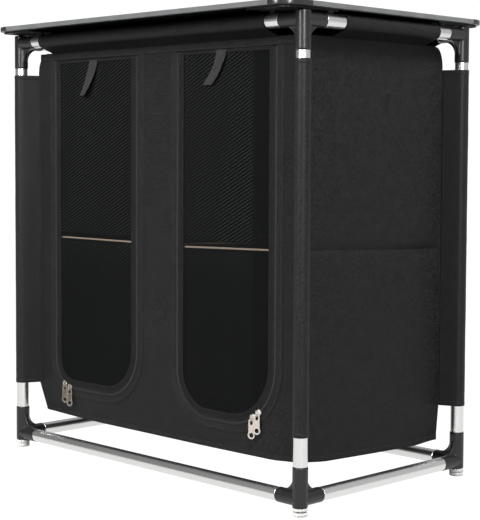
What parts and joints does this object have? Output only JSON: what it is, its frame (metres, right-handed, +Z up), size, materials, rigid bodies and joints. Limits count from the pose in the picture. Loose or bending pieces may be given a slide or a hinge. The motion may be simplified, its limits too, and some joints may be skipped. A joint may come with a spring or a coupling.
{
  "type": "folding camping cupboard",
  "caption": "Tube-frame camping cupboard with a hanging fabric box, zipped mesh doors that swing up, a shelf with loose boards, screw feet and a lift-off tabletop.",
  "frame": {"origin": "on the floor, in the middle of the tabletop's footprint", "axes": "+Z up; the doors face -Y; +X is to the right of somebody who faces the doors"},
  "size_m": [0.8264, 0.5564, 0.8637],
  "materials": {
    "tube": "satin anodised",
    "connector": "satin, moulded",
    "foot": "satin, moulded",
    "tabletop": "black laminate on fibreboard",
    "edge_profile": "satin dark grey",
    "table_corner": "semi-gloss, moulded",
    "cover": "coated polyester, fine plain weave",
    "shelf_board": "raw fibreboard",
    "door_mesh": "fine mesh with a fabric border",
    "zip_tape": "woven tape with a coil",
    "zip_metal": "pale beige enamel",
    "webbing": "woven ribbon"
  },
  "bodies": {
    "cabinet": {"post_front_left": "tube", "post_front_right": "tube", "post_back_right": "tube", "post_back_left": "tube", "rail_top_front": "tube", "rail_top_back": "tube", "rail_top_left": "tube", "rail_top_right": "tube", "rail_bottom_front": "tube", "rail_bottom_back": "tube", "rail_bottom_left": "tube", "rail_bottom_right": "tube", "corner_top_front_left": "connector", "corner_top_front_right": "connector", "corner_top_back_right": "connector", "corner_top_back_left": "connector", "corner_bottom_front_left": "connector", "corner_bottom_front_right": "connector", "corner_bottom_back_right": "connector", "corner_bottom_back_left": "connector", "foot_collar_front_left": "foot", "foot_collar_front_right": "foot", "foot_collar_back_right": "foot", "foot_collar_back_left": "foot", "cover_front": "cover", "cover_back": "cover", "cover_left": "cover", "cover_right": "cover", "cover_floor": "cover", "shelf_cloth": "cover", "shelf_board_left": "shelf_board", "shelf_board_right": "shelf_board", "zip_left": "zip_tape", "zip_right": "zip_tape"},
    "tabletop": {"table_board": "tabletop", "table_edge_front": "edge_profile", "table_edge_back": "edge_profile", "table_edge_left": "edge_profile", "table_edge_right": "edge_profile", "table_corner_front_left": "table_corner", "table_corner_front_right": "table_corner", "table_corner_back_right": "table_corner", "table_corner_back_left": "table_corner"},
    "foot_front_left": {"foot_pad_front_left": "foot"},
    "foot_front_right": {"foot_pad_front_right": "foot"},
    "foot_back_right": {"foot_pad_back_right": "foot"},
    "foot_back_left": {"foot_pad_back_left": "foot"},
    "door_left": {"door_left": "door_mesh"},
    "strap_left": {"tie_strap_left": "webbing"},
    "door_right": {"door_right": "door_mesh"},
    "strap_right": {"tie_strap_right": "webbing"},
    "slider_left_upper": {"zip_slider_left_upper": "zip_metal"},
    "pull_left_upper": {"zip_pull_left_upper": "zip_metal"},
    "slider_left_lower": {"zip_slider_left_lower": "zip_metal"},
    "pull_left_lower": {"zip_pull_left_lower": "zip_metal"},
    "slider_right_upper": {"zip_slider_right_upper": "zip_metal"},
    "pull_right_upper": {"zip_pull_right_upper": "zip_metal"},
    "slider_right_lower": {"zip_slider_right_lower": "zip_metal"},
    "pull_right_lower": {"zip_pull_right_lower": "zip_metal"}
  },
  "joints": [
    {"name": "tabletop_lift", "type": "slide", "parent": "cabinet", "child": "tabletop", "axis": [0, 0, 1], "range_m": [0, 0.15]},
    {"name": "foot_front_left_screw", "type": "slide", "parent": "cabinet", "child": "foot_front_left", "axis": [0, 0, -1], "range_m": [0, 0.012]},
    {"name": "foot_front_right_screw", "type": "slide", "parent": "cabinet", "child": "foot_front_right", "axis": [0, 0, -1], "range_m": [0, 0.012]},
    {"name": "foot_back_right_screw", "type": "slide", "parent": "cabinet", "child": "foot_back_right", "axis": [0, 0, -1], "range_m": [0, 0.012]},
    {"name": "foot_back_left_screw", "type": "slide", "parent": "cabinet", "child": "foot_back_left", "axis": [0, 0, -1], "range_m": [0, 0.012]},
    {"name": "door_left_flap", "type": "hinge", "parent": "cabinet", "child": "door_left", "pos_m": [-0.185, -0.1935, 0.7967], "axis": [-1, 0, 0], "range_deg": [0, 100]},
    {"name": "door_right_flap", "type": "hinge", "parent": "cabinet", "child": "door_right", "pos_m": [0.183, -0.1935, 0.7967], "axis": [-1, 0, 0], "range_deg": [0, 100]},
    {"name": "strap_left_hang", "type": "hinge", "parent": "door_left", "child": "strap_left", "pos_m": [-0.192, -0.1945, 0.7925], "axis": [1, 0, 0], "range_deg": [-100, 0]},
    {"name": "strap_right_hang", "type": "hinge", "parent": "door_right", "child": "strap_right", "pos_m": [0.173, -0.1945, 0.7955], "axis": [1, 0, 0], "range_deg": [-100, 0]},
    {"name": "slider_left_upper_run", "type": "hinge", "parent": "cabinet", "child": "slider_left_upper", "pos_m": [-0.254, -0.1948, 0.193], "axis": [0, 1, 0], "range_deg": [0, 62]},
    {"name": "slider_left_lower_run", "type": "hinge", "parent": "cabinet", "child": "slider_left_lower", "pos_m": [-0.254, -0.1948, 0.193], "axis": [0, -1, 0], "range_deg": [0, 11]},
    {"name": "slider_right_upper_run", "type": "hinge", "parent": "cabinet", "child": "slider_right_upper", "pos_m": [0.198, -0.1948, 0.24], "axis": [0, -1, 0], "range_deg": [0, 49]},
    {"name": "slider_right_lower_run", "type": "hinge", "parent": "cabinet", "child": "slider_right_lower", "pos_m": [0.198, -0.1948, 0.24], "axis": [0, 1, 0], "range_deg": [0, 32]},
    {"name": "pull_left_upper_swing", "type": "hinge", "parent": "slider_left_upper", "child": "pull_left_upper", "pos_m": [-0.27776, -0.1987, 0.13855], "axis": [-1, 0, 0], "range_deg": [0, 110]},
    {"name": "pull_left_lower_swing", "type": "hinge", "parent": "slider_left_lower", "child": "pull_left_lower", "pos_m": [-0.26246, -0.1987, 0.13302], "axis": [-1, 0, 0], "range_deg": [0, 110]},
    {"name": "pull_right_upper_swing", "type": "hinge", "parent": "slider_right_upper", "child": "pull_right_upper", "pos_m": [0.27058, -0.1987, 0.15237], "axis": [-1, 0, 0], "range_deg": [0, 110]},
    {"name": "pull_right_lower_swing", "type": "hinge", "parent": "slider_right_lower", "child": "pull_right_lower", "pos_m": [0.25707, -0.1987, 0.14276], "axis": [-1, 0, 0], "range_deg": [0, 110]}
  ]
}
